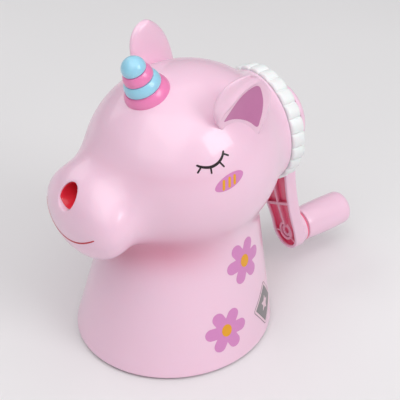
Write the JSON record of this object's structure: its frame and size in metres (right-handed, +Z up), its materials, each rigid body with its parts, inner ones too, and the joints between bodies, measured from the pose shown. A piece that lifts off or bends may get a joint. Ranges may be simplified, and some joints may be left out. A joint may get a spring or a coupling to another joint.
{
  "type": "pencil sharpener",
  "caption": "Hand-cranked pencil sharpener shaped as a unicorn head: pencil goes in the nose, the crank turns a geared cutter, shavings fall into the neck.",
  "frame": {"origin": "under the middle of the object's box, on the surface that the feet stand on", "axes": "+X from the nose towards the crank's knob, along the pencil; +Y to the unicorn's right; +Z up"},
  "size_m": [0.1266, 0.07, 0.1138],
  "materials": {
    "shell_pink": "glossy moulded ABS",
    "guide_red": "glossy moulded ABS",
    "horn_pink": "glossy",
    "horn_blue": "glossy",
    "mane_white": "fine satin",
    "housing_white": "satin",
    "cover_pink": "satin",
    "screw_steel": "zinc plated",
    "cutter_steel": "hardened, ground",
    "carrier_zinc": "die-cast zinc, satin",
    "bush_brass": "turned",
    "foot_rubber": "matt rubber"
  },
  "bodies": {
    "sharpener_body": {"body_shell": "shell_pink", "pencil_guide": "guide_red", "guide_screw_left": "screw_steel", "guide_screw_right": "screw_steel", "horn_foot_pink": "horn_pink", "horn_band_blue": "horn_blue", "horn_band_pink": "horn_pink", "horn_tip_blue": "horn_blue", "horn_pin": "shell_pink", "ear_left": "shell_pink", "ear_right": "shell_pink"},
    "cartridge": {"mane_ring": "mane_white", "cutter_housing": "housing_white", "ring_gear": "housing_white", "shaft_bush": "bush_brass", "mane_screw_1": "screw_steel", "mane_screw_2": "screw_steel", "gear_screw_1": "screw_steel", "gear_screw_2": "screw_steel", "gear_screw_3": "screw_steel"},
    "crank": {"cutter_carrier": "carrier_zinc", "cutter_axle": "screw_steel", "crank_shaft": "screw_steel", "shaft_pin": "screw_steel", "crank_arm": "shell_pink", "hub_washer": "screw_steel", "hub_screw": "screw_steel", "hub_cap": "shell_pink", "knob_pin": "shell_pink"},
    "cutter": {"helical_cutter": "cutter_steel", "cutter_pinion": "cutter_steel"},
    "knob": {"crank_knob": "shell_pink"},
    "base": {"base_cover": "cover_pink", "foot_front": "foot_rubber", "foot_rear": "foot_rubber", "foot_left": "foot_rubber", "foot_right": "foot_rubber"}
  },
  "joints": [
    {"name": "cartridge_slide", "type": "slide", "parent": "sharpener_body", "child": "cartridge", "axis": [1, 0, 0], "range_m": [0, 0.06]},
    {"name": "crank_spin", "type": "hinge", "parent": "cartridge", "child": "crank", "pos_m": [0.02617, 0, 0.071], "axis": [1, 0, 0], "continuous": true},
    {"name": "cutter_spin", "type": "hinge", "parent": "crank", "child": "cutter", "pos_m": [-0.02683, 0, 0.0801], "axis": [0.9848, 0, -0.1736], "continuous": true},
    {"name": "knob_spin", "type": "hinge", "parent": "crank", "child": "knob", "pos_m": [0.04117, 0, 0.0158], "axis": [1, 0, 0], "continuous": true},
    {"name": "base_slide", "type": "slide", "parent": "sharpener_body", "child": "base", "axis": [0, 0, -1], "range_m": [0, 0.03]}
  ],
  "couplings": [
    {"joint": "cutter_spin", "follows": "crank_spin", "ratio": -2}
  ]
}
